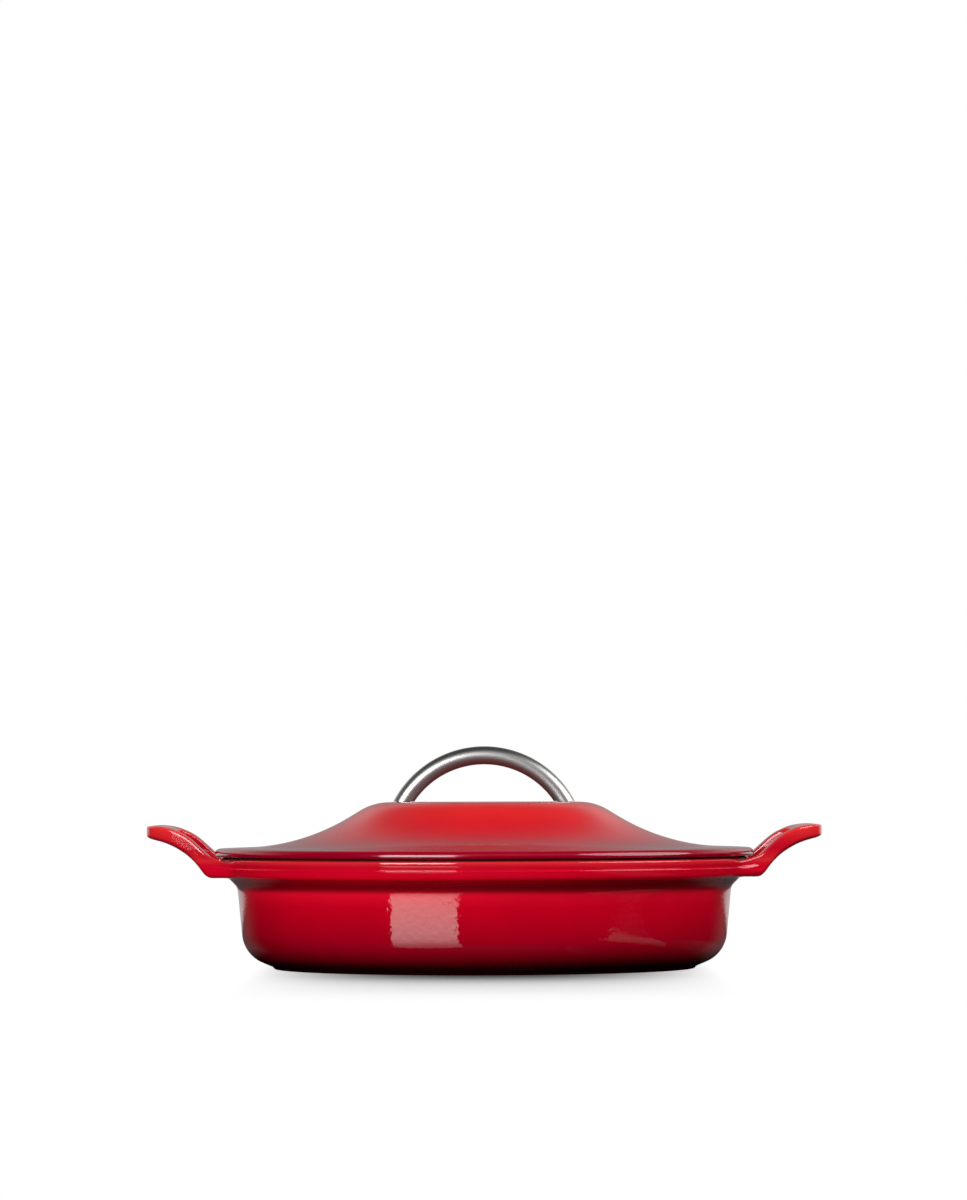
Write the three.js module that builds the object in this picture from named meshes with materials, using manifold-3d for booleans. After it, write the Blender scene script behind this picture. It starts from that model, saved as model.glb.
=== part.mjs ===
// A round shallow casserole of enamelled cast iron: a low pot with two upswept loop handles, a lid
// with a flat crown, and a bent steel rod on the crown to lift it by, screwed on from below.
// Millimetres and degrees, +Z up. The origin is on the table, under the middle of the pot.

import * as THREE from 'three';
import { mergeVertices } from 'three/addons/utils/BufferGeometryUtils.js';
import Module from 'manifold-3d';

// Pot: wall, floor and foot
const wallRadius = 142.2; // outside of the wall, where it meets the rim
const wallDraft = 5.4; // lean of the wall, inwards to the floor
const wallThickness = 4;
const floorThickness = 4.5;
const bottomCornerRadius = 19; // outside, between wall and underside
const bottomSlope = 22; // rise of the underside from the foot to the corner
const footSetback = 20.5; // top of the foot, inside the wall's radius
const footTaper = 1.3;
const footHeight = 1.4;
const footWidth = 12;
const footHollow = 0.9; // depth of the shallow hollow inside the foot ring

// Pot: rim
const rimHeight = 64; // top of the rim above the table
const rimDepth = 11.5;
const rimOverhang = 13; // beyond the wall
const rimThickness = 9.4; // from the outside of the rim to the mouth
const rimFillet = 9; // under the rim, into the wall
const rimUnderRadius = 5;
const beadHeight = 4.2; // top of the rim down to the groove round it
const beadSetback = 0.4;
const beadRadius = 2.8;
const grooveDepth = 1;
const grooveRadius = 1;
const mouthEdgeRadius = 1.2;
const ledgeDepth = 8; // step inside the mouth, below the rim's top
const ledgeRadius = 3;
const ledgeEdgeRadius = 5;

// Pot: loop handles, in side view
const handleReach = 37.2; // tip beyond the rim
const handleRise = 29.9; // top of the tip above the rim's underside
const handleTipThickness = 7.4;
const handleRootThickness = 8.6;
const handleNeckThickness = 6.2;
const handleElbowOut = 1.9; // where the underside turns up, beyond the rim
const handleElbowRadius = 8;
const handleNeckAngle = 57; // slope of the upswept part
const handleTipAngle = 9.5; // slope of the underside near the tip
const handleUnderRadius = 44;
const handleTopRadius = 34;
const handleNotchRadius = 2.5;
const handleTipRadius = 3.6;

// Pot: loop handles, seen from above
const handleRootWidth = 104; // at the rim
const handleTipWidth = 86;
const handleCornerRadius = 22;
const handleArmWidth = 13;
const handleBarWidth = 15.5;
const gripCornerRadius = 11;

// Lid
const seatGap = 0.3; // drawn between pieces that touch
const lidEdgeSetback = 0.5; // inside the rim's outer radius
const lidEdgeThickness = 4.2;
const lidEdgeRelief = 0.3; // edge above the seat
const lidEdgeRadius = 2.05;
const lidThickness = 4;
const crownRise = 31; // top of the crown above the lid's seat
const crownLand = 0.5; // flat of the crown beyond the washers
const crownRadius = 32.5;
const skirtSlope = 31.5;
const skirtRadius = 122;
const brimSlope = 2.2;
const seatWidth = 6.2;
const ringClearance = 1; // lid's locating ring inside the mouth
const ringThickness = 4;
const ringDepth = 4.8;
const ringRadius = 1.3;

// Lid's rod and what holds it
const rodDiameter = 10.4;
const archRadius = 53.6; // centre line of the rod
const archSunk = 26.9; // centre of the arch below the crown
const spigotWall = 1.2;
const spigotShort = 0.5; // end of the spigot above the lid's underside
const tapRise = 3; // end of the tapped hole above the crown
const screwDiameter = 5;
const screwHeadDiameter = 9.5;
const screwHeadHeight = 3.6;
const screwHeadRadius = 1.4;
const screwSocketAcross = 4; // corner to corner
const screwSocketDepth = 2;
const screwTipRoom = 0.8; // left over at the end of the tapped hole
const washerDiameter = 15;
const washerThickness = 1.2;
const lockWasherDiameter = 9.2;
const lockWasherThickness = 1.6;
const lockWasherSplit = 18; // opening of the split ring

// Fineness of the round surfaces
const roundSteps = 60;
const rodSteps = 72;
const rodSides = 12;
const screwSteps = 20;
const arcError = 0.22; // most that a rounded corner's short edges stray from its arc

// Levels and radii that the sizes above give
const rimUnder = rimHeight - rimDepth;
const rimRadius = wallRadius + rimOverhang;
const mouthRadius = rimRadius - rimThickness;
const seatHeight = rimHeight + seatGap;
const crownHeight = seatHeight + crownRise;
const crownUnder = crownHeight - lidThickness;
const legOut = Math.sqrt(archRadius ** 2 - archSunk ** 2);
const screwRadius = screwDiameter / 2;
const tapRadius = screwRadius + seatGap;
const spigotRadius = tapRadius + spigotWall;

const wasm = await Module();
wasm.setup();

const radians = THREE.MathUtils.degToRad;

// A corner of an outline, with the radius of the arc that rounds it.
const corner = (x, y, radius = 0) => ({ x, y, radius });

// Where a line through one point meets a line through another, each with its slope in degrees.
function meet(a, slopeA, b, slopeB) {
  const along = { x: Math.cos(radians(slopeA)), y: Math.sin(radians(slopeA)) };
  const other = { x: Math.cos(radians(slopeB)), y: Math.sin(radians(slopeB)) };
  const reach = ((b.x - a.x) * other.y - (b.y - a.y) * other.x) / (along.x * other.y - along.y * other.x);
  return { x: a.x + along.x * reach, y: a.y + along.y * reach };
}

// A point moved off a line of the given slope, square to it and to its left.
function beside(point, slope, distance) {
  const turned = radians(slope);
  return { x: point.x - distance * Math.sin(turned), y: point.y + distance * Math.cos(turned) };
}

// The points of an outline with its corners rounded. Arcs that need more than the edge between them
// share that edge. An open outline keeps its two ends.
function rounded(corners, closed) {
  const count = corners.length;
  const at = corners.map((c) => new THREE.Vector2(c.x, c.y));
  const bends = corners.map((c, i) => {
    const back = at[(i + count - 1) % count].clone().sub(at[i]);
    const ahead = at[(i + 1) % count].clone().sub(at[i]);
    const turn = Math.PI - Math.abs(Math.atan2(back.cross(ahead), back.dot(ahead)));
    const ends = !closed && (i === 0 || i === count - 1);
    return { back, ahead, turn, reach: ends ? 0 : c.radius * Math.tan(turn / 2) };
  });
  const room = (i, j, edge) => Math.min(1, edge.length() / (bends[i].reach + bends[j].reach || 1));
  const points = [];
  bends.forEach(({ back, ahead, turn, reach }, n) => {
    if (!reach) {
      points.push(at[n]);
      return;
    }
    const share = Math.min(room(n, (n + count - 1) % count, back), room(n, (n + 1) % count, ahead));
    const radius = (reach * share) / Math.tan(turn / 2);
    const middle = back.clone().normalize().add(ahead.clone().normalize()).normalize();
    const centre = at[n].clone().addScaledVector(middle, radius / Math.cos(turn / 2));
    const start = at[n].clone().addScaledVector(back.clone().normalize(), reach * share).sub(centre);
    const step = 2 * Math.acos(1 - Math.min(arcError / radius, 0.5));
    const steps = Math.max(2, Math.ceil(turn / step));
    const way = Math.sign(ahead.cross(back));
    for (let i = 0; i <= steps; i += 1) {
      points.push(start.clone().rotateAround(new THREE.Vector2(), (way * turn * i) / steps).add(centre));
    }
  });
  return points;
}

// A closed geometry as a solid that can be joined and cut.
function solid(geometry) {
  const shell = new THREE.BufferGeometry();
  shell.setAttribute('position', geometry.getAttribute('position'));
  shell.setIndex(geometry.index);
  const merged = mergeVertices(shell);
  const corners = merged.index.array;
  const triVerts = [];
  for (let i = 0; i < corners.length; i += 3) {
    const [a, b, c] = corners.slice(i, i + 3);
    if (a !== b && b !== c && c !== a) triVerts.push(a, b, c);
  }
  const vertProperties = merged.getAttribute('position').array;
  return new wasm.Manifold(new wasm.Mesh({ numProp: 3, vertProperties, triVerts: new Uint32Array(triVerts) }));
}

// A solid made by turning an outline of radius and height about the upright axis.
function turned(outline, steps = roundSteps) {
  return solid(new THREE.LatheGeometry(outline, steps).rotateX(Math.PI / 2));
}

// A solid made by pulling an outline straight up from one level to another.
function upright(outline, from, to) {
  const shape = new THREE.Shape(outline);
  const geometry = new THREE.ExtrudeGeometry(shape, { depth: to - from, bevelEnabled: false });
  return solid(geometry.translate(0, 0, from));
}

// A plain upright cylinder between two levels.
function cylinder(radius, from, to, steps) {
  const outline = [[0, from], [radius, from], [radius, to], [0, to]];
  return turned(outline.map(([x, y]) => new THREE.Vector2(x, y)), steps);
}

function mesh(name, body, material) {
  const cut = body.getMesh();
  const geometry = new THREE.BufferGeometry();
  geometry.setAttribute('position', new THREE.BufferAttribute(cut.vertProperties, 3));
  geometry.setIndex(new THREE.BufferAttribute(cut.triVerts, 1));
  geometry.computeVertexNormals();
  const piece = new THREE.Mesh(geometry, material);
  piece.name = name;
  return piece;
}

const enamel = new THREE.MeshStandardMaterial({ color: 0xc40a1c, roughness: 0.16, metalness: 0 });
const brushedSteel = new THREE.MeshStandardMaterial({ color: 0xb4b2b0, roughness: 0.3, metalness: 1 });
const plainSteel = new THREE.MeshStandardMaterial({ color: 0xa2a3a6, roughness: 0.38, metalness: 1 });

// The turned body of the pot: foot ring, wall, moulded rim, mouth with its ledge, floor.
function potBody() {
  const footTop = wallRadius - footSetback;
  const footEdge = footTop - footTaper;
  const footInner = footEdge - footWidth;
  const wallSlope = 90 - wallDraft;
  const wallTop = { x: wallRadius, y: rimUnder };
  const bottom = meet({ x: footTop, y: footHeight }, bottomSlope, wallTop, wallSlope);
  const innerWall = beside(wallTop, wallSlope, wallThickness);
  const floorTop = footHollow + floorThickness;
  const ledge = meet(innerWall, wallSlope, { x: mouthRadius, y: rimHeight - ledgeDepth }, 0);
  const floorCorner = meet(innerWall, wallSlope, { x: 0, y: floorTop }, 0);
  const groove = rimHeight - beadHeight;
  const bead = rimRadius - beadSetback;
  return turned(rounded([
    corner(0, footHollow),
    corner(footInner - footHollow, footHollow),
    corner(footInner, 0),
    corner(footEdge, 0),
    corner(footTop, footHeight),
    corner(bottom.x, bottom.y, bottomCornerRadius),
    corner(wallTop.x, wallTop.y, rimFillet),
    corner(rimRadius, rimUnder, rimUnderRadius),
    corner(rimRadius, groove - grooveRadius, grooveRadius),
    corner(rimRadius - grooveDepth, groove, grooveRadius),
    corner(bead, groove + grooveRadius, grooveRadius),
    corner(bead, rimHeight, beadRadius),
    corner(mouthRadius, rimHeight, mouthEdgeRadius),
    corner(mouthRadius, ledge.y, ledgeRadius),
    corner(ledge.x, ledge.y, ledgeEdgeRadius),
    corner(floorCorner.x, floorCorner.y, bottomCornerRadius - wallThickness),
    corner(0, floorTop),
  ], false));
}

// One loop handle: an upswept band in side view, cut to a rounded loop seen from above. Its root
// reaches into the rim.
function loopHandle() {
  const tip = rimRadius + handleReach;
  const top = rimUnder + handleRise;
  const root = rimRadius - rimUnderRadius - mouthEdgeRadius;
  const elbow = { x: rimRadius + handleElbowOut, y: rimUnder };
  const tipUnder = { x: tip, y: top - handleTipThickness };
  const underBend = meet(elbow, handleNeckAngle, tipUnder, handleTipAngle);
  const neckTop = beside(elbow, handleNeckAngle, handleNeckThickness);
  const topBend = meet(neckTop, handleNeckAngle, { x: tip, y: top }, 0);
  const rootTop = rimUnder + handleRootThickness;
  const notch = meet(neckTop, handleNeckAngle, { x: 0, y: rootTop }, 0);
  const side = new THREE.Shape(rounded([
    corner(0, rimUnder),
    corner(elbow.x, elbow.y, handleElbowRadius),
    corner(underBend.x, underBend.y, handleUnderRadius),
    corner(tipUnder.x, tipUnder.y, handleTipRadius),
    corner(tip, top, handleTipRadius),
    corner(topBend.x, topBend.y, handleTopRadius),
    corner(notch.x, notch.y, handleNotchRadius),
    corner(0, rootTop),
  ], true));

  const rootHalf = handleRootWidth / 2;
  const tipHalf = handleTipWidth / 2;
  const bar = tip - handleBarWidth;
  const inside = root - rootHalf;
  const insideHalf = tipHalf + ((rootHalf - tipHalf) * (tip - inside)) / handleReach;
  const widest = 2 * Math.max(insideHalf, tipHalf);
  const band = new THREE.ExtrudeGeometry(side, { depth: widest, bevelEnabled: false });
  band.rotateX(Math.PI / 2).translate(0, widest / 2, 0);
  const plan = rounded([
    corner(inside, -insideHalf),
    corner(tip, -tipHalf, handleCornerRadius),
    corner(tip, tipHalf, handleCornerRadius),
    corner(inside, insideHalf),
  ], true);
  const grip = rounded([
    corner(inside, handleArmWidth - insideHalf),
    corner(bar, handleArmWidth - tipHalf, gripCornerRadius),
    corner(bar, tipHalf - handleArmWidth, gripCornerRadius),
    corner(inside, insideHalf - handleArmWidth),
  ], true);
  const over = top + 1;
  return solid(band)
    .intersect(upright(plan, 0, over))
    .subtract(upright(grip, 0, over))
    .subtract(cylinder(root, 0, over, roundSteps));
}

function casseroleBase() {
  const right = loopHandle();
  const left = right.rotate([0, 0, 180]);
  return mesh('casserole_base', potBody().add(right).add(left), enamel);
}

// The lid: crown, skirt and brim of one thickness, a round edge, a flat seat and a locating ring.
function lid() {
  const lidRadius = rimRadius - lidEdgeSetback;
  const edgeUnder = seatHeight + lidEdgeRelief;
  const edgeTop = { x: lidRadius, y: edgeUnder + lidEdgeThickness };
  const crownFlat = legOut + washerDiameter / 2 + crownLand;
  const shoulder = { x: crownFlat + crownRadius * Math.tan(radians(skirtSlope / 2)), y: crownHeight };
  const valley = meet(shoulder, -skirtSlope, edgeTop, -brimSlope);
  const skirtUnder = beside(shoulder, -skirtSlope, -lidThickness);
  const brimUnder = beside(edgeTop, -brimSlope, -lidThickness);
  const innerShoulder = meet(skirtUnder, -skirtSlope, { x: 0, y: crownUnder }, 0);
  const innerValley = meet(skirtUnder, -skirtSlope, brimUnder, -brimSlope);
  const ringOuter = mouthRadius - ringClearance;
  const ringInner = ringOuter - ringThickness;
  const ringBottom = seatHeight - ringDepth;
  const ringTop = meet(brimUnder, -brimSlope, { x: ringInner, y: 0 }, 90);
  const seatOuter = ringOuter + seatWidth;
  const shell = turned(rounded([
    corner(0, crownUnder),
    corner(innerShoulder.x, innerShoulder.y, crownRadius - lidThickness),
    corner(innerValley.x, innerValley.y, skirtRadius + lidThickness),
    corner(ringTop.x, ringTop.y, ringRadius),
    corner(ringInner, ringBottom, ringRadius),
    corner(ringOuter, ringBottom, ringRadius),
    corner(ringOuter, seatHeight),
    corner(seatOuter, seatHeight),
    corner(seatOuter, edgeUnder),
    corner(lidRadius, edgeUnder, lidEdgeRadius),
    corner(edgeTop.x, edgeTop.y, lidEdgeRadius),
    corner(valley.x, valley.y, skirtRadius),
    corner(shoulder.x, shoulder.y, crownRadius),
    corner(0, crownHeight),
  ], false));
  const hole = cylinder(spigotRadius + seatGap, crownUnder - lidThickness, crownHeight + lidThickness, screwSteps);
  const drilled = [-legOut, legOut].reduce((body, x) => body.subtract(hole.translate([x, 0, 0])), shell);
  return mesh('lid', drilled, enamel);
}

// The arch: a bent round rod cut level above the crown, with a tapped spigot under each foot.
function lidHandle() {
  const foot = crownHeight + seatGap;
  const hoop = new THREE.TorusGeometry(archRadius, rodDiameter / 2, rodSides, rodSteps);
  hoop.rotateX(Math.PI / 2).translate(0, 0, crownHeight - archSunk);
  const reach = archRadius + rodDiameter;
  const below = cylinder(reach, foot - 2 * reach, foot, screwSteps);
  const spigot = cylinder(spigotRadius, crownUnder + spigotShort, foot + seatGap, screwSteps);
  const tap = cylinder(tapRadius, crownUnder - spigotShort, crownHeight + tapRise, screwSteps);
  const rod = [-legOut, legOut].reduce(
    (body, x) => body.add(spigot.translate([x, 0, 0])).subtract(tap.translate([x, 0, 0])),
    solid(hoop).subtract(below),
  );
  return mesh('lid_handle', rod, brushedSteel);
}

// A wide flat ring against the underside of the crown.
function flatWasher(top) {
  const outer = cylinder(washerDiameter / 2, top - washerThickness, top, 2 * screwSteps);
  const hole = cylinder(tapRadius, top - 2 * washerThickness, top + washerThickness, screwSteps);
  return outer.subtract(hole);
}

// A split ring between the flat washer and the screw's head.
function lockWasher(top) {
  const half = radians(lockWasherSplit / 2);
  const ring = new THREE.Path();
  ring.absarc(0, 0, lockWasherDiameter / 2, half, -half, false);
  ring.absarc(0, 0, tapRadius, -half, half, true);
  return upright(ring.getPoints(screwSteps), top - lockWasherThickness, top);
}

// A button-headed socket screw, head down.
function handleScrew(top) {
  const headRadius = screwHeadDiameter / 2;
  const bottom = top - screwHeadHeight;
  const tip = crownHeight + tapRise - screwTipRoom;
  const chamfer = screwTipRoom;
  const body = turned(rounded([
    corner(0, bottom),
    corner(headRadius, bottom, screwHeadRadius),
    corner(headRadius, top),
    corner(screwRadius, top),
    corner(screwRadius, tip - chamfer),
    corner(screwRadius - chamfer, tip),
    corner(0, tip),
  ], false), screwSteps);
  return body.subtract(cylinder(screwSocketAcross / 2, bottom - 1, bottom + screwSocketDepth, 6));
}

const casserole = new THREE.Group();
casserole.add(casseroleBase());

const lidAssembly = new THREE.Group();
lidAssembly.add(lid(), lidHandle());
for (const [side, x] of [['left', -legOut], ['right', legOut]]) {
  const fixing = new THREE.Group();
  const washerTop = crownUnder - seatGap;
  const lockTop = washerTop - washerThickness - seatGap;
  const headTop = lockTop - lockWasherThickness - seatGap;
  fixing.add(mesh(`${side}_flat_washer`, flatWasher(washerTop), plainSteel));
  fixing.add(mesh(`${side}_lock_washer`, lockWasher(lockTop), plainSteel));
  fixing.add(mesh(`${side}_handle_screw`, handleScrew(headTop), plainSteel));
  fixing.position.x = x;
  lidAssembly.add(fixing);
}
casserole.add(lidAssembly);

export default casserole;
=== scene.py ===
# A round shallow casserole of red enamelled cast iron, its lid on, seen side-on in a bright studio.
# Metres, +Z up; the pot stands on the table with its middle at the origin. Its sizes are written in mm.

import math

import bmesh
import bpy
from mathutils import Matrix, Vector


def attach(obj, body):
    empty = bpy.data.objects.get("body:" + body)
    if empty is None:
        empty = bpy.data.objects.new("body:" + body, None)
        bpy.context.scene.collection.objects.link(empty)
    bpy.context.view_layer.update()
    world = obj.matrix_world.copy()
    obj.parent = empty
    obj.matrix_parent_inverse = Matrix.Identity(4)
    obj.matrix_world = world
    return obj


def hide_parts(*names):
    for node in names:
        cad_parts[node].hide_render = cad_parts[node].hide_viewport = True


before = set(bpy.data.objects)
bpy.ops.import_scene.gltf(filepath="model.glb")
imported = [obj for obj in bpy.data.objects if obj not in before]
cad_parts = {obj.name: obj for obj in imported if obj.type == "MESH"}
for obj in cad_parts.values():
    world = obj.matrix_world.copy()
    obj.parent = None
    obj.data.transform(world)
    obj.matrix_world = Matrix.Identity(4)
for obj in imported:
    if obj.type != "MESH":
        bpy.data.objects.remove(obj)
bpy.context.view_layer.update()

# Casserole base. One iron casting: floor, foot ring, tapered wall, moulded rim and two loop handles.
# Red enamel outside, near black at the foot, and pale enamel inside. A quarter of it is spun from its
# outline, half a handle is pulled out of the rim, and both are mirrored.
MM = 0.001
MERGE_GAP = 0.002 * MM
ROUND_STEPS = 144
rim_radius = 155.2
rim_under = 52.5
rim_top = 64
mouth_radius = 145.8
ledge = 56
wall_radius = 142.2
wall_lean = math.tan(math.radians(5.4))
wall_thickness = 4
wall_rows = (28, 36)
floor_top = 5.4
floor_under = 0.9
foot_inner = 108
foot_outer = 120.4
foot_top = 1.4
foot_rounding = 0.6
bottom_corner = 8.1


def wall_at(z):
    """Outer radius of the tapered wall at a height."""
    return wall_radius - (rim_under - z) * wall_lean


def rounded(corners, error=0.03):
    """Points of a line through corners of radius, height and rounding in mm, with arcs of that error."""
    at = [Vector(corner[:2]) * MM for corner in corners]
    points = [at[0]]
    for before, here, after, corner in zip(at, at[1:], at[2:], corners[1:-1]):
        radius = corner[2] * MM
        if not radius:
            points.append(here)
            continue
        back = (before - here).normalized()
        ahead = (after - here).normalized()
        turn = math.pi - back.angle(ahead)
        centre = here + (back + ahead).normalized() * radius / math.cos(turn / 2)
        spoke = here + back * radius * math.tan(turn / 2) - centre
        way = math.copysign(1, ahead.cross(back))
        steps = math.ceil(turn / math.sqrt(8 * error * MM / radius))
        for i in range(steps + 1):
            points.append(centre + Matrix.Rotation(way * turn * i / steps, 2) @ spoke)
    points.append(at[-1])
    return points


rim_rows = (
    (150.2, 52.3),
    (152.8, 52.95),
    (154.2, 54.85),
    (154.86, 56.5),
    (155.2, 57.5),
    (155.26, 57.9),
    (155.2, 58.03),
    (155, 58.09),
    (154.42, 58.15),
    (154.22, 58.19),
    (154.19, 58.26),
    (154.24, 58.5),
    (154.55, 59.3),
    (154.84, 60.1),
    (155.01, 60.8),
    (155.03, 61.6),
    (155.02, 62.3),
    (154.97, 62.62),
    (154.8, 62.85),
    (154.35, 63),
    (152.8, 63.35),
)
pot_outline = rounded([
    (0, floor_under, 0),
    (20, floor_under, 0),
    (60, floor_under, 0),
    (100, floor_under, 0),
    (foot_inner - 1.5, floor_under, foot_rounding),
    (foot_inner, 0, foot_rounding),
    (foot_outer, 0, foot_rounding),
    (foot_outer + 1.3, foot_top, foot_rounding),
    (wall_at(bottom_corner), bottom_corner, 19),
    *[(wall_at(height), height, 0) for height in wall_rows],
    (wall_at(46.8), 46.8, 6),
    (147, 52.2, 3),
    *[(radius, height, 0) for radius, height in rim_rows],
    (150, rim_top, 0),
    (148.5, rim_top, 0),
    (mouth_radius, rim_top, 1.2),
    (mouth_radius, ledge, 3),
    (wall_at(ledge) - wall_thickness, ledge, 5),
    *[(wall_at(height) - wall_thickness, height, 0) for height in reversed(wall_rows)],
    (wall_at(floor_top) - wall_thickness, floor_top, 15),
    (90, floor_top, 0),
    (60, floor_top, 0),
    (20, floor_top, 0),
    (0, floor_top, 0),
])


def draw_line(name, points, across=0):
    """A new piece in edit mode: one vertex, drawn out through points of radius and height."""
    bpy.ops.object.select_all(action="DESELECT")
    bpy.ops.mesh.primitive_plane_add(size=MM)
    piece = bpy.context.object
    piece.name = name
    bpy.ops.object.mode_set(mode="EDIT")
    bpy.ops.mesh.select_mode(type="VERT")
    bpy.ops.mesh.select_all(action="SELECT")
    bpy.ops.mesh.merge(type="CENTER")
    bpy.ops.transform.translate(value=(across + points[0].x, 0, points[0].y))
    for start, end in zip(points, points[1:]):
        step = end - start
        bpy.ops.mesh.extrude_vertices_move(TRANSFORM_OT_translate={"value": (step.x, 0, step.y)})
    return piece


def spin_round(steps, across=0, turn=2 * math.pi):
    """Spin the drawn line about an upright axis, and close the seam and the poles."""
    bpy.ops.mesh.select_all(action="SELECT")
    bpy.ops.mesh.spin(steps=steps, angle=-turn, center=(across, 0, 0), axis=(0, 0, 1))
    bpy.ops.mesh.select_all(action="SELECT")
    bpy.ops.mesh.remove_doubles(threshold=MERGE_GAP)
    bpy.ops.mesh.normals_make_consistent(inside=False)


pot = draw_line("casserole_base_enamelled", pot_outline)
spin_round(ROUND_STEPS // 4, turn=math.pi / 2)

# The loop handle of the quarter, still part of the casting: an arm is pulled out of the rim's faces,
# run straight to the loop's corner, turned round it and drawn on to the middle plane.
step_angle = 2 * math.pi / ROUND_STEPS
arm_first = 5 * step_angle
arm_last = 9 * step_angle
arm_width = 13
bar_width = 15.5
bar_steps = 4
tip_radius = 192.4
tip_half = 43
root_half = 52
root_inner = 152.5
root_top = 61.2
root_rows = rim_rows[1:17]
corner_radius = 22
corner_steps = 8
taper = math.atan2(root_half - tip_half, tip_radius - rim_radius)
corner_turn = math.pi / 2 - taper
corner_x = tip_radius - corner_radius
corner_y = tip_half + corner_radius * math.tan(taper) - corner_radius / math.cos(taper)
arm_end = corner_x + (corner_radius - arm_width / 2) * math.sin(taper)
arm_flare = ((154, 16.5), (155.6, 14.6), (157.2, 13.8), (158.8, 13.3))
arm_straight = [(x, arm_width) for x in (160.4, 162, 163.6, 165.2, 166.8, 168.4, 170, arm_end)]
arm_stations = [*arm_flare, *arm_straight]
arm_section = (
    (0.03, 0.68),
    (0.09, 0.87),
    (0.17, 0.97),
    (0.26, 1),
    (0.34, 1),
    (0.41, 1),
    (0.47, 1),
    (0.52, 1),
    (0.57, 1),
    (0.63, 1),
    (0.69, 1),
    (0.76, 1),
    (0.83, 1),
    (0.895, 0.985),
    (0.945, 0.9),
    (0.98, 0.7),
)
crown_rises = {arm_section[0][0]: -0.03, arm_section[-1][0]: 0.02}
crown_half = 4
row_gap = 0.015
level_gap = 0.1
pull = 200
end_plane = rim_radius + pull


def pick(piece, parts, test):
    """Select the verts or faces of a piece in edit mode whose middle, in mm, passes a test."""
    bpy.ops.mesh.select_all(action="DESELECT")
    bpy.ops.mesh.select_mode(type="FACE" if parts == "faces" else "VERT")
    mesh = bmesh.from_edit_mesh(piece.data)
    for part in getattr(mesh, parts):
        middle = part.calc_center_median() if parts == "faces" else part.co
        part.select_set(test(middle / MM))
    mesh.select_flush_mode()
    bmesh.update_edit_mesh(piece.data)


def on_root(middle):
    """Whether a face of the rim is where an arm grows."""
    angle = math.atan2(middle.y, middle.x)
    in_rows = root_rows[0][1] < middle.z < root_rows[-1][1]
    return math.hypot(middle.x, middle.y) > root_inner and in_rows and arm_first < angle < arm_last


def at_end(middle):
    """Whether a vertex or face is on the flat end that was pulled out of the rim."""
    return middle.x > end_plane - 1


def arm_middle(x):
    """Distance of an arm's middle line from the loop's middle plane, at a distance out."""
    return tip_half + (tip_radius - x) * math.tan(taper) - arm_width / 2 / math.cos(taper)


def arm_height(level):
    """Height of a level of the arm's section while the arm is flat."""
    return rim_under + (root_top - rim_under) * level


pick(pot, "faces", on_root)
bpy.ops.mesh.extrude_region_move(TRANSFORM_OT_translate={"value": (pull * MM, 0, 0)})
bpy.ops.transform.resize(value=(0, 1, 1), center_override=(end_plane * MM, 0, 0))
station, width = arm_stations[0]
for (out, height), (level, share) in zip(root_rows, arm_section):
    pick(pot, "verts", lambda v: at_end(v) and abs(v.z - height) < row_gap)
    root_y = out * math.sin((arm_first + arm_last) / 2)
    spread = out * (math.sin(arm_last) - math.sin(arm_first))
    move = (0, (arm_middle(station) - root_y) * MM, (arm_height(level) - height) * MM)
    bpy.ops.transform.resize(value=(1, share * width / spread, 1), center_override=(0, root_y * MM, 0))
    bpy.ops.transform.translate(value=move)
for level, rise in crown_rises.items():
    height = arm_height(level)

    def on_crown(v):
        near_middle = abs(v.y - arm_middle(station)) < crown_half
        return at_end(v) and abs(v.z - height) < level_gap and near_middle

    pick(pot, "verts", on_crown)
    bpy.ops.transform.translate(value=(0, 0, rise * (root_top - rim_under) * MM))
pick(pot, "faces", at_end)
turn_point = (end_plane * MM, arm_middle(station) * MM, 0)
bpy.ops.transform.rotate(value=taper, orient_axis="Z", center_override=turn_point)
bpy.ops.transform.translate(value=((station - end_plane) * MM, 0, 0))
for next_station, next_width in arm_stations[1:]:
    move = ((next_station - station) * MM, (arm_middle(next_station) - arm_middle(station)) * MM, 0)
    bpy.ops.mesh.extrude_region_move(TRANSFORM_OT_translate={"value": move})
    grow = next_width / width
    middle = (next_station * MM, arm_middle(next_station) * MM, 0)
    bpy.ops.transform.resize(value=(grow, grow, 1), center_override=middle)
    station, width = next_station, next_width
corner = Vector((corner_x, corner_y, 0)) * MM
outward = Vector((math.sin(taper), math.cos(taper), 0))
grow = (bar_width / arm_width) ** (1 / corner_steps)
for i in range(corner_steps):
    bpy.ops.mesh.spin(steps=1, angle=corner_turn / corner_steps, center=corner, axis=(0, 0, 1))
    outward.rotate(Matrix.Rotation(-corner_turn / corner_steps, 3, "Z"))
    edge = corner + outward * corner_radius * MM
    bpy.ops.transform.resize(value=(grow, grow, 1), center_override=edge)
for i in range(bar_steps):
    bpy.ops.mesh.extrude_region_move(TRANSFORM_OT_translate={"value": (0, -corner_y * MM / bar_steps, 0)})
bpy.ops.mesh.delete(type="FACE")

# The rim's bead dips into the handle's root, so that the lid's edge clears it.
bead_inner = 152
bead_outer = 155.5
bead_foot = 58.6
dip_share = 0.5
dip_starts = math.radians(26)
dip_ends = math.radians(20)
dip_columns = 11
for column in range(dip_columns):
    angle = column * step_angle
    ease = min(1, max(0, (dip_starts - angle) / (dip_starts - dip_ends)))
    dip = dip_share * ease * ease * (3 - 2 * ease)

    def on_bead(v):
        in_column = abs(math.atan2(v.y, v.x) - angle) < 0.3 * step_angle
        return in_column and bead_inner < math.hypot(v.x, v.y) < bead_outer and v.z > bead_foot

    pick(pot, "verts", on_bead)
    bpy.ops.transform.resize(value=(1, 1, 1 - dip), center_override=(0, 0, bead_foot * MM))

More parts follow.
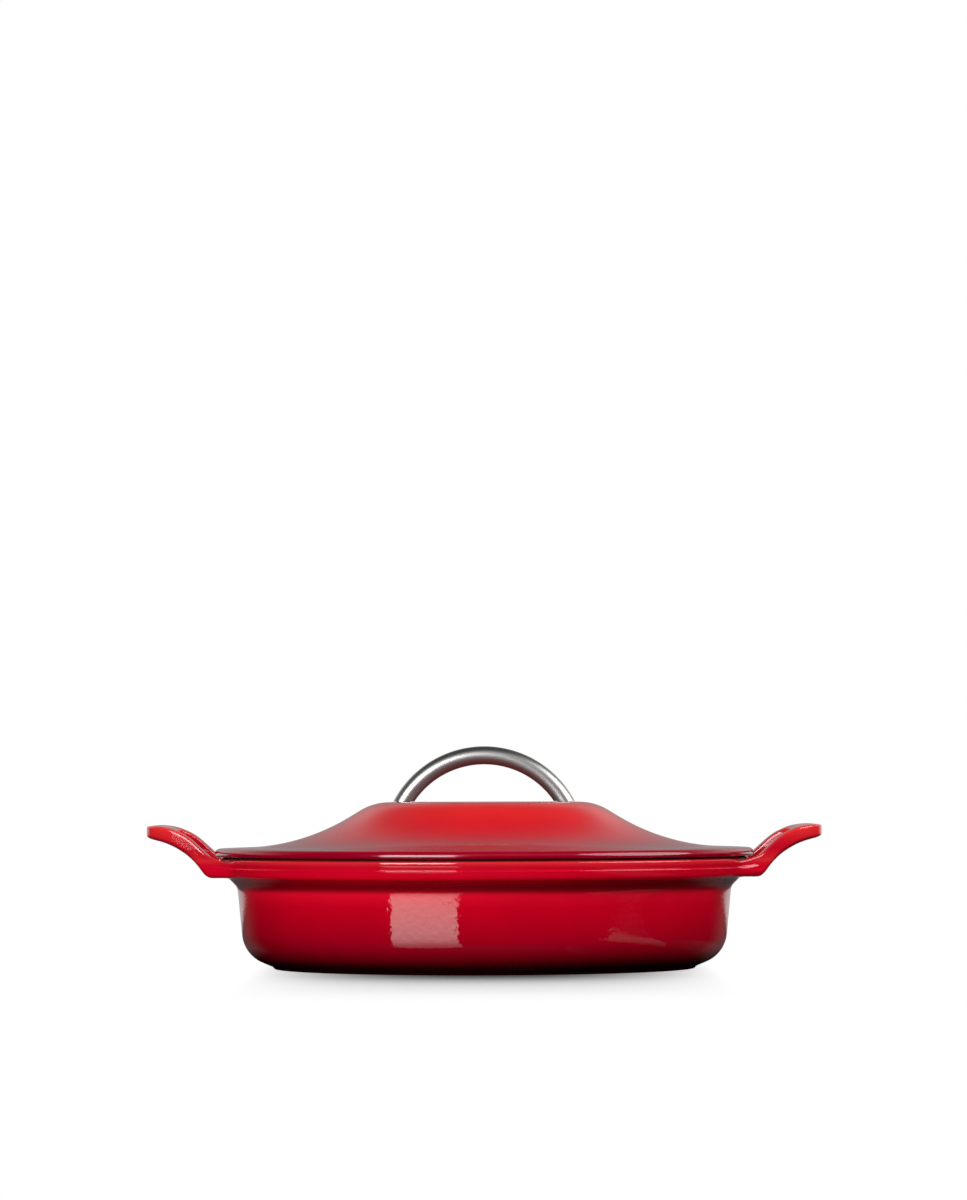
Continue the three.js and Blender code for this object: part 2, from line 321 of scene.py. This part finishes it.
# The flat loop is swept up between the lines of its side view, point by point, because the bend tool
# needs a window.
tip_top = 82.4
tip_under = 75
line_start = 140
line_end = tip_radius + 5
line_error = 0.01
under_line = rounded([
    (line_start, rim_under, 0),
    (157.1, rim_under, 7.5),
    (169.2, 71.1, 41),
    (tip_radius, tip_under, 0),
    (line_end, tip_under + 0.8, 0),
], line_error)
top_line = rounded([
    (line_start, root_top, 0),
    (150.9, root_top, 3),
    (174, tip_top, 36),
    (tip_radius, tip_top, 0),
    (line_end, tip_top, 0),
], line_error)
loop_inner = rim_radius + 0.3


def height_on(line, x):
    """Height of a drawn line at a distance out."""
    for start, end in zip(line, line[1:]):
        if start.x <= x <= end.x:
            return start.y + (end.y - start.y) * (x - start.x) / (end.x - start.x)


def finish_mesh(piece, kind, **settings):
    """Add one modifier to a piece and apply it."""
    bpy.context.view_layer.objects.active = piece
    modifier = piece.modifiers.new(kind.title(), kind)
    for name, setting in settings.items():
        setattr(modifier, name, setting)
    bpy.ops.object.modifier_apply(modifier=modifier.name)


mesh = bmesh.from_edit_mesh(pot.data)
for v in mesh.verts:
    if math.hypot(v.co.x, v.co.y) > loop_inner * MM:
        level = (v.co.z / MM - rim_under) / (root_top - rim_under)
        under = height_on(under_line, v.co.x)
        v.co.z = under + (height_on(top_line, v.co.x) - under) * level
bmesh.update_edit_mesh(pot.data)
bpy.ops.object.mode_set(mode="OBJECT")
finish_mesh(pot, "MIRROR", use_axis=(True, True, False), merge_threshold=5 * MERGE_GAP)
bpy.ops.object.mode_set(mode="EDIT")
bpy.ops.mesh.select_all(action="SELECT")
bpy.ops.mesh.remove_doubles(threshold=MERGE_GAP)
bpy.ops.mesh.normals_make_consistent(inside=False)
bpy.ops.object.mode_set(mode="OBJECT")
finish_mesh(pot, "SUBSURF", levels=1, render_levels=1)
bpy.ops.object.shade_smooth()


class Shade:
    """A value in a material's nodes; arithmetic on it makes Math nodes, and make() any other node."""

    def __init__(self, tree, socket):
        self.tree = tree
        self.socket = socket

    def make(self, kind, settings, sockets, output=0):
        """A new node: its settings first, then its sockets, linked or set."""
        node = self.tree.nodes.new("ShaderNode" + kind)
        for name, setting in settings.items():
            if name == "stops":
                ramp = node.color_ramp.elements
                for element, stop in zip((ramp[0], ramp[1]), (setting[0], setting[-1])):
                    element.position = stop[0]
                    element.color = (*stop[1], 1)
                for place, colour in setting[1:-1]:
                    ramp.new(place).color = (*colour, 1)
            else:
                setattr(node, name, setting)
        for name, value in sockets.items():
            if isinstance(value, Shade):
                self.tree.links.new(value.socket, node.inputs[name])
            else:
                node.inputs[name].default_value = value
        return Shade(self.tree, node.outputs[output])

    def math(self, operation, first, second=0):
        """A Math node on one or two values."""
        return self.make("Math", {"operation": operation}, {0: first, 1: second})

    def __add__(self, other):
        return self.math("ADD", self, other)

    def __sub__(self, other):
        return self.math("SUBTRACT", self, other)

    def __rsub__(self, other):
        return self.math("SUBTRACT", other, self)

    def __mul__(self, other):
        return self.math("MULTIPLY", self, other)

    def __truediv__(self, other):
        return self.math("DIVIDE", self, other)

    def __pow__(self, other):
        return self.math("POWER", self, other)

    def __abs__(self):
        return self.math("ABSOLUTE", self)

    __radd__ = __add__
    __rmul__ = __mul__

    def parts(self):
        """The three parts of a vector."""
        first = self.make("SeparateXYZ", {}, {0: self})
        return [Shade(self.tree, output) for output in first.socket.node.outputs]

    def between(self, low, high):
        """Ease from 0 to 1 as this value goes from low to high."""
        sockets = {"Value": self, "From Min": low, "From Max": high}
        return self.make("MapRange", {"interpolation_type": "SMOOTHSTEP"}, sockets)

    def noise(self, size, detail=2):
        """Cloudy noise around 0.5 with features of about that size."""
        return self.make("TexNoise", {}, {"Vector": self, "Scale": 1 / size, "Detail": detail})

    def mix(self, first, second):
        """One colour at 0 and another at 1."""
        return self.make("Mix", {"data_type": "RGBA"}, {0: self, 6: first, 7: second}, 2)

    def dim(self, colour):
        """A colour times this value."""
        return self.make("VectorMath", {"operation": "SCALE"}, {0: colour, "Scale": self})


def new_material(name, constants):
    """A Principled material with its constants set: the material, its shader and Object coordinates."""
    material = bpy.data.materials.new(name)
    material.use_nodes = True
    shader = material.node_tree.nodes["Principled BSDF"]
    for socket, value in constants.items():
        shader.inputs[socket].default_value = value
    coordinates = material.node_tree.nodes.new("ShaderNodeTexCoord")
    return material, shader, Shade(material.node_tree, coordinates.outputs["Object"])


def wire(shader, links):
    """Link the varying inputs of a material's shader."""
    for socket, value in links.items():
        value.tree.links.new(value.socket, shader.inputs[socket])


seat_inner = 144.8
seat_outer = 151
seat_level = 64.3
bare_iron = (0.03, 0.028, 0.027, 1)


def enamel(name, low, high, stops, seat, soft=200, wave=0.02, bend=1.5):
    """Fused glass on iron, coloured from low to high, and dark at the seat, where lid and rim touch.

    Above the height soft its gloss is softer and its ripple less; wave is the ripple's depth, bend the IOR.
    """
    material, shader, place = new_material(name, {"IOR": bend})
    x, y, z = place.parts()
    reach = (x * x + y * y) ** 0.5
    level = (z - low * MM) / ((high - low) * MM)
    tone = level.make("ValToRGB", {"stops": stops}, {0: level})
    cloud = place.noise(22 * MM, 3)
    fine = place.noise(1.6 * MM)
    tone = (0.88 + 0.18 * cloud + 0.06 * fine).dim(tone)
    near_seat = 1 - abs(z - seat * MM).between(0.4 * MM, 0.9 * MM)
    beyond_inner = reach.between((seat_inner - 1) * MM, seat_inner * MM)
    beyond_outer = reach.between(seat_outer * MM, (seat_outer + 0.5) * MM)
    band = near_seat * beyond_inner * (1 - beyond_outer)
    tone = band.mix(tone, bare_iron)
    above = z.between(soft * MM, (soft + 8) * MM)
    peel = place.noise(3.2 * MM) * (1 - 0.8 * above)
    bump = peel.make("Bump", {}, {"Height": peel, "Distance": wave * MM, "Strength": 1}, "Normal")
    gloss = 0.02 + 0.03 * cloud + 0.4 * band + 0.08 * above
    wire(shader, {"Base Color": tone, "Roughness": gloss, "Normal": bump})
    return material


# The outer red is set height by height: darker towards the bottom, and dark in the recess under the rim,
# from 47 to 50 mm up, which is painted shade.
pot_red = enamel("pot_red_enamel", 0, 84, [
    (0, (0.02, 0, 0)),
    (0.03, (0.04, 0, 0.001)),
    (0.06, (0.09, 0, 0.002)),
    (0.1, (0.17, 0, 0.005)),
    (0.14, (0.22, 0, 0.007)),
    (0.2, (0.27, 0, 0.008)),
    (0.32, (0.38, 0, 0.01)),
    (0.45, (0.495, 0, 0.012)),
    (0.53, (0.64, 0.003, 0.02)),
    # Painted shade in the recess under the rim.
    (0.56, (0.3, 0.001, 0.008)),
    (0.59, (0.28, 0, 0.006)),
    (0.61, (0.56, 0, 0.011)),
    (0.625, (0.92, 0.001, 0.02)),
    (0.635, (0.88, 0.001, 0.02)),
    (0.66, (0.7, 0.001, 0.018)),
    (0.69, (0.54, 0.001, 0.017)),
    (0.72, (0.53, 0.003, 0.017)),
    (0.745, (0.58, 0.018, 0.026)),
    (0.76, (0.52, 0.01, 0.019)),
    (0.82, (0.44, 0.002, 0.014)),
    (0.88, (0.52, 0.006, 0.016)),
    (1, (0.8, 0.03, 0.028)),
], seat=rim_top, soft=64.5, wave=0.06, bend=1.56)
sand = enamel("pot_sand_enamel", 0, 96, [
    (0, (0.66, 0.56, 0.42)),
    (1, (0.7, 0.6, 0.46)),
], seat=seat_level)
pot.data.materials.append(pot_red)
pot.data.materials.append(sand)
inside_radius = 146
inside_low = 5
inside_high = 58
steep = 0.2
for face in pot.data.polygons:
    middle = face.center / MM
    out = math.hypot(middle.x, middle.y)
    inward = face.normal.x * middle.x + face.normal.y * middle.y < -steep * out
    upward = face.normal.z > steep and middle.z < inside_high
    if out < inside_radius and middle.z > inside_low and (inward or upward):
        face.material_index = 1
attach(pot, "pot")
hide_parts("casserole_base")

# Lid. An iron casting with a flat crown, a curved skirt and a thick brim, and a ring below that drops
# into the pot's mouth. Red enamel, pale underneath. Spun whole, with a hole for each rod end.
crown_top = 95.3
crown_under = 91.3
lid_radius = 154.7
brim_under = 64.6
ring_inner = 140.8
ring_under = 59.5
ring_rounding = 1.3
crease = math.radians(35)
lid_outline = rounded([
    (0, crown_under, 0),
    (30, crown_under, 0),
    (62.35, crown_under, 28.5),
    (102.2, 66.8, 126),
    (ring_inner, 65.4, ring_rounding),
    (ring_inner, ring_under, ring_rounding),
    (seat_inner, ring_under, ring_rounding),
    (seat_inner, seat_level, 0),
    (seat_outer, seat_level, 0),
    (seat_outer, brim_under, 0),
    (lid_radius, brim_under, 1),
    (lid_radius, 68.8, 3),
    (103.9, 70.6, 122),
    (63.5, crown_top, 32.5),
    (30, crown_top, 0),
    (0, crown_top, 0),
], 0.02)
lid = draw_line("lid_enamelled", lid_outline)
spin_round(2 * ROUND_STEPS)
bpy.ops.object.mode_set(mode="OBJECT")
leg_out = 46.36


def cut_round(piece, operation, radius, low, high, sides=48, ends=(1, -1)):
    """Take upright cylinders at the rod's ends away from a piece, or join them on."""
    for side in ends:
        middle = (side * leg_out * MM, 0, (low + high) / 2 * MM)
        depth = (high - low) * MM
        bpy.ops.object.select_all(action="DESELECT")
        bpy.ops.mesh.primitive_cylinder_add(vertices=sides, radius=radius * MM, depth=depth, location=middle)
        tool = bpy.context.object
        finish_mesh(piece, "BOOLEAN", operation=operation, object=tool, solver="MANIFOLD")
        bpy.data.objects.remove(tool)
    piece.data.materials.clear()
    bpy.ops.object.select_all(action="DESELECT")
    piece.select_set(True)


cut_round(lid, "DIFFERENCE", radius=4.3, low=85, high=100)
bpy.ops.object.shade_smooth_by_angle(angle=crease)
lid_red = enamel("lid_red_enamel", 64, 96, [
    (0, (0.22, 0, 0.011)),
    (0.13, (0.26, 0, 0.012)),
    (0.17, (0.27, 0.001, 0.012)),
    (0.24, (0.38, 0.002, 0.012)),
    (0.43, (0.52, 0.004, 0.012)),
    (0.64, (0.58, 0.006, 0.012)),
    (1, (0.645, 0.018, 0.018)),
], seat=seat_level, soft=50)
lid.data.materials.append(lid_red)
lid.data.materials.append(sand)
for face in lid.data.polygons:
    within_ring = math.hypot(face.center.x, face.center.y) < (seat_inner + 0.1) * MM
    if within_ring and face.normal.z < -0.05:
        face.material_index = 1
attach(lid, "lid")
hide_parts("lid")

# Lid handle. One round steel rod bent into an arch, cut level at its feet, which stand on the crown;
# a turned spigot under each foot is tapped for a screw. A disc is spun along the arch and cut off.
rod_radius = 5.2
rod_sides = 40
arch_radius = 53.6
arch_middle = 68.4
arch_steps = 120
foot_level = 95.6
start_angle = math.radians(18)
start_x = arch_radius * math.cos(start_angle) * MM
start_z = (arch_middle + arch_radius * math.sin(start_angle)) * MM
bpy.ops.object.select_all(action="DESELECT")
bpy.ops.mesh.primitive_circle_add(
    vertices=rod_sides,
    radius=rod_radius * MM,
    fill_type="NGON",
    location=(start_x, 0, start_z),
    rotation=(0, -start_angle, 0),
)
rod = bpy.context.object
rod.name = "lid_handle_rod"
bpy.ops.object.transform_apply()
bpy.ops.object.mode_set(mode="EDIT")
bpy.ops.mesh.select_all(action="SELECT")
arch_centre = (0, 0, arch_middle * MM)
arch_turn = math.pi - 2 * start_angle
bpy.ops.mesh.spin(steps=arch_steps, angle=arch_turn, center=arch_centre, axis=(0, 1, 0))
bpy.ops.mesh.select_all(action="SELECT")
cut_place = (0, 0, foot_level * MM)
bpy.ops.mesh.bisect(plane_co=cut_place, plane_no=(0, 0, 1), use_fill=True, clear_inner=True)
bpy.ops.mesh.select_all(action="SELECT")
bpy.ops.mesh.normals_make_consistent(inside=False)
bpy.ops.object.mode_set(mode="OBJECT")
cut_round(rod, "UNION", radius=4, low=91.8, high=97)
cut_round(rod, "DIFFERENCE", radius=2.8, low=91, high=98.6)
bpy.ops.object.shade_smooth_by_angle(angle=crease)
rod_steel, shader, place = new_material("rod_steel", {"Metallic": 1})
x, y, z = place.parts()
z = z - arch_middle * MM
along = z.math("ARCTAN2", z, x)
out = (x * x + z * z) ** 0.5 - arch_radius * MM
around = z.math("ARCTAN2", y, out)
# Painted shade: the rod's inner side, which faces the lid, is painted dark, so that it mirrors less of the
# lid's red; it is also rougher.
inner_shade = 1 - out.between(-0.5 * rod_radius * MM, 0.15 * rod_radius * MM)
lined = along.make("CombineXYZ", {}, {0: along * arch_radius * MM * 0.05, 1: around * rod_radius * MM})
streak = lined.noise(0.8 * MM)
tone = inner_shade.mix((0.45, 0.445, 0.44, 1), (0.18, 0.26, 0.26, 1))
tone = (0.97 + 0.06 * streak).dim(tone)
wire(shader, {"Base Color": tone, "Roughness": 0.38 + 0.14 * inner_shade})
rod.data.materials.append(rod_steel)
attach(rod, "lid")
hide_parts("lid_handle")

# Flat washers. A wide plain steel washer under the crown at each end of the rod spreads the load on
# the enamel. Each is a rounded section spun about the screw, and the left one is a copy.
washer_bore = 2.75
washer_radius = 7.5
washer_under = 89.8
washer_top = 91
washer_middle = 90.4
washer_outline = rounded([
    (washer_bore, washer_middle, 0),
    (washer_bore, washer_under, 0.25),
    (washer_radius, washer_under, 0.3),
    (washer_radius, washer_top, 0.3),
    (washer_bore, washer_top, 0.25),
    (washer_bore, washer_middle, 0),
])
fixing_steel, shader, place = new_material("fixing_steel", {"Metallic": 1})
grain = place.noise(0.4 * MM, 3)
cloud = place.noise(4 * MM)
tone = (0.8 + 0.2 * grain + 0.2 * cloud).dim((0.5, 0.49, 0.48))
wire(shader, {"Base Color": tone, "Roughness": 0.2 + 0.25 * grain})


def close_fixing(piece, node):
    """Shade a right-hand fixing, copy it to the left, and put both on the lid."""
    bpy.ops.object.mode_set(mode="OBJECT")
    bpy.ops.object.shade_smooth_by_angle(angle=crease)
    piece.data.materials.append(fixing_steel)
    bpy.ops.object.duplicate()
    bpy.ops.transform.translate(value=(-2 * leg_out * MM, 0, 0))
    bpy.ops.object.transform_apply()
    for name, copy in {"right_" + node: piece, "left_" + node: bpy.context.object}.items():
        copy.name = name + "_turned"
        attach(copy, "lid")
        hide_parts(name)


flat_washer = draw_line("flat_washer", washer_outline, leg_out * MM)
spin_round(48, leg_out * MM)
close_fixing(flat_washer, "flat_washer")

# Lock washers. A split ring of spring steel under each flat washer keeps the screw tight. A square
# section is spun nearly all the way round, and its edges are eased.
lock_radius = 3.7
lock_level = 88.7
lock_width = 1.8
lock_height = 1.6
lock_turn = math.radians(342)
bpy.ops.object.select_all(action="DESELECT")
section_place = ((leg_out + lock_radius) * MM, 0, lock_level * MM)
bpy.ops.mesh.primitive_plane_add(size=1, location=section_place, rotation=(math.pi / 2, 0, 0))
lock_washer = bpy.context.object
lock_washer.scale = (lock_width * MM, lock_height * MM, 1)
bpy.ops.object.transform_apply()
bpy.ops.object.mode_set(mode="EDIT")
bpy.ops.mesh.select_all(action="SELECT")
bpy.ops.mesh.spin(steps=44, angle=lock_turn, center=(leg_out * MM, 0, 0), axis=(0, 0, 1))
bpy.ops.mesh.select_all(action="SELECT")
bpy.ops.mesh.normals_make_consistent(inside=False)
bpy.ops.object.mode_set(mode="OBJECT")
finish_mesh(lock_washer, "BEVEL", width=0.15 * MM, segments=2, limit_method="ANGLE")
close_fixing(lock_washer, "lock_washer")

# Handle screws. A button-head socket screw goes up through both washers into each spigot. Spun from
# its outline, with a six-sided socket cut into the head.
head_radius = 4.75
head_under = 84
head_top = 87.6
shank_radius = 2.5
shank_end = 97.5
key_across = 4
socket_radius = key_across / 2 / math.cos(math.pi / 6)
screw_outline = rounded([
    (0, head_under, 0),
    (head_radius, head_under, 1.4),
    (head_radius, head_top, 0.3),
    (shank_radius, head_top, 0.2),
    (shank_radius, shank_end - 0.7, 0),
    (shank_radius - 0.7, shank_end, 0),
    (0, shank_end, 0),
])
screw = draw_line("screw", screw_outline, leg_out * MM)
spin_round(40, leg_out * MM)
bpy.ops.object.mode_set(mode="OBJECT")
cut_round(screw, "DIFFERENCE", socket_radius, low=head_under - 1, high=head_under + 2, sides=6, ends=(1,))
close_fixing(screw, "handle_screw")

# Table. A plain table that the camera sees as white, with the pot's soft shadow. To reflections it is
# a dark polished top that ends in front of the pot, and pale far behind, as in the studio.
bpy.ops.object.select_all(action="DESELECT")
bpy.ops.mesh.primitive_plane_add(size=8)
table = bpy.context.object
table.name = "table"
table_white = bpy.data.materials.new("table_white")
table_white.use_nodes = True
tree = table_white.node_tree
tree.nodes.clear()


def seen_rays(tree):
    """Whether a ray comes from the camera, from a shiny surface or through glass."""
    path = tree.nodes.new("ShaderNodeLightPath")
    names = ("Is Camera Ray", "Is Glossy Ray", "Is Transmission Ray")
    return [Shade(tree, path.outputs[name]) for name in names]


camera_ray, glossy_ray, clear_ray = seen_rays(tree)
x, y = camera_ray.make("TexCoord", {}, {}, "Object").parts()[:2]
lean_out = 0.866
lean_up = 0.5
towards = y.make("CombineXYZ", {}, {1: lean_out - 2 * lean_out * y.between(-0.1, 0.1), 2: lean_up})
closed = 1 - y.make("AmbientOcclusion", {"samples": 16}, {"Distance": 0.6, "Normal": towards}, "AO")
shadow_half = 0.13
shadow_depth = y.between(-0.5, -0.3) * (1 - y.between(0.1, 0.35))
washed = y.math("MAXIMUM", 1 - abs(x / shadow_half) ** 3, 0) * shadow_depth
lit = y.math("MAXIMUM", 1 - closed * (1.9 - 0.9 * closed) * washed, 0)
white = y.make("Emission", {}, {"Color": lit})
table_front = -0.335
front_edge = y.between(table_front - 0.003, table_front + 0.003)
left_front = (1 - y.between(-0.15, -0.1)) * (1 - x.between(0.02, 0.08))
right_front = (1 - y.between(-0.05, 0.05)) * x.between(0.12, 0.14)
right_front = right_front * (0.27 - 0.24 * x.between(0.17, 0.2))
behind = y.between(0.4, 0.6)
polished = front_edge * (left_front + right_front + behind)
black = y.make("BsdfDiffuse", {}, {"Color": (0.004, 0.004, 0.004, 1)})
polish = {"Base Color": (0.01, 0.01, 0.01, 1), "Roughness": 0.02, "IOR": 1.42}
dark = y.make("BsdfPrincipled", {}, polish)
dark = y.make("MixShader", {}, {0: polished, 1: black, 2: dark})
back = (y + 0.057) / (abs(x) - 0.128)
beside = glossy_ray * abs(x).between(0.13, 0.16) * back.between(0.8, 2)
pale = y.make("Emission", {}, {"Color": 0.08 * beside})
dark = y.make("AddShader", {}, {0: dark, 1: pale})
look = y.make("MixShader", {}, {0: camera_ray + clear_ray, 1: dark, 2: white})
output = tree.nodes.new("ShaderNodeOutputMaterial")
tree.links.new(look.socket, output.inputs["Surface"])
table.data.materials.append(table_white)

# Studio. White to the camera, pale behind the pot and dark in front to shiny surfaces; a soft box on
# the left and a round one on the right light it.
world = bpy.data.worlds.new("studio")
bpy.context.scene.world = world
world.use_nodes = True
tree = world.node_tree
camera_ray, glossy_ray, clear_ray = seen_rays(tree)
right, away, up = camera_ray.make("TexCoord", {}, {}, "Generated").parts()
beside = abs(right).between(0.03, 0.4) * (1 - up.between(0.4, 0.65))
raised = up.between(0.14, 0.24)
low = away.between(0.55, 0.9)
pale = away.between(0, 0.6) * (1 - 0.7 * up.between(0.35, 0.85)) * up.math("MAXIMUM", low, raised)
pale = pale * (0.3 + 0.48 * beside) + 0.16 * low * (1 - up.between(0.03, 0.08))
front = (0 - away).between(0.4, 0.7) * up.between(0.35, 0.55) * (1 - up.between(0.7, 0.9))
fill = 0.3
brightness = fill + (1 - fill) * (camera_ray + clear_ray) + (pale + 0.5 * front - fill) * glossy_ray
tree.links.new(brightness.socket, tree.nodes["Background"].inputs["Color"])
box_distance = 1.6
box_aim = Vector((0, 0, 0.05))


def soft_box(name, shape, azimuth, elevation, width, height, radiance):
    """A soft lamp facing the pot; the azimuth runs to the right from the camera's side."""
    data = bpy.data.lights.new(name, "AREA")
    data.shape = shape
    data.size = width
    data.size_y = height
    data.energy = radiance * math.pi * width * height * (math.pi / 4 if shape == "ELLIPSE" else 1)
    lamp = bpy.data.objects.new(name, data)
    bpy.context.scene.collection.objects.link(lamp)
    turn = math.radians(azimuth)
    rise = math.radians(elevation)
    way = Vector((math.sin(turn) * math.cos(rise), -math.cos(turn) * math.cos(rise), math.sin(rise)))
    lamp.location = way * box_distance + box_aim
    lamp.rotation_euler = way.to_track_quat("Z", "Y").to_euler()


soft_box("left_box", "RECTANGLE", azimuth=-27.3, elevation=16, width=0.87, height=0.8, radiance=11)
soft_box("right_box", "ELLIPSE", azimuth=71, elevation=28, width=1.55, height=1.27, radiance=5)

# Camera. A long lens three metres off and level with the rod, tipped up so that the pot stands low in
# the frame, and turned a hair, as the photograph is.
camera_data = bpy.data.cameras.new("camera")
camera = bpy.data.objects.new("camera", camera_data)
bpy.context.scene.collection.objects.link(camera)
camera_data.lens = 158.67
camera_data.sensor_width = 36
camera.location = (0, -3.041, 0.1062)
tilt = Matrix.Rotation(math.radians(90 + 1.98), 3, "X")
roll = Matrix.Rotation(math.radians(-0.17), 3, "Z")
camera.rotation_euler = (tilt @ roll).to_euler()
bpy.context.scene.camera = camera
bpy.context.scene.view_settings.view_transform = "Standard"
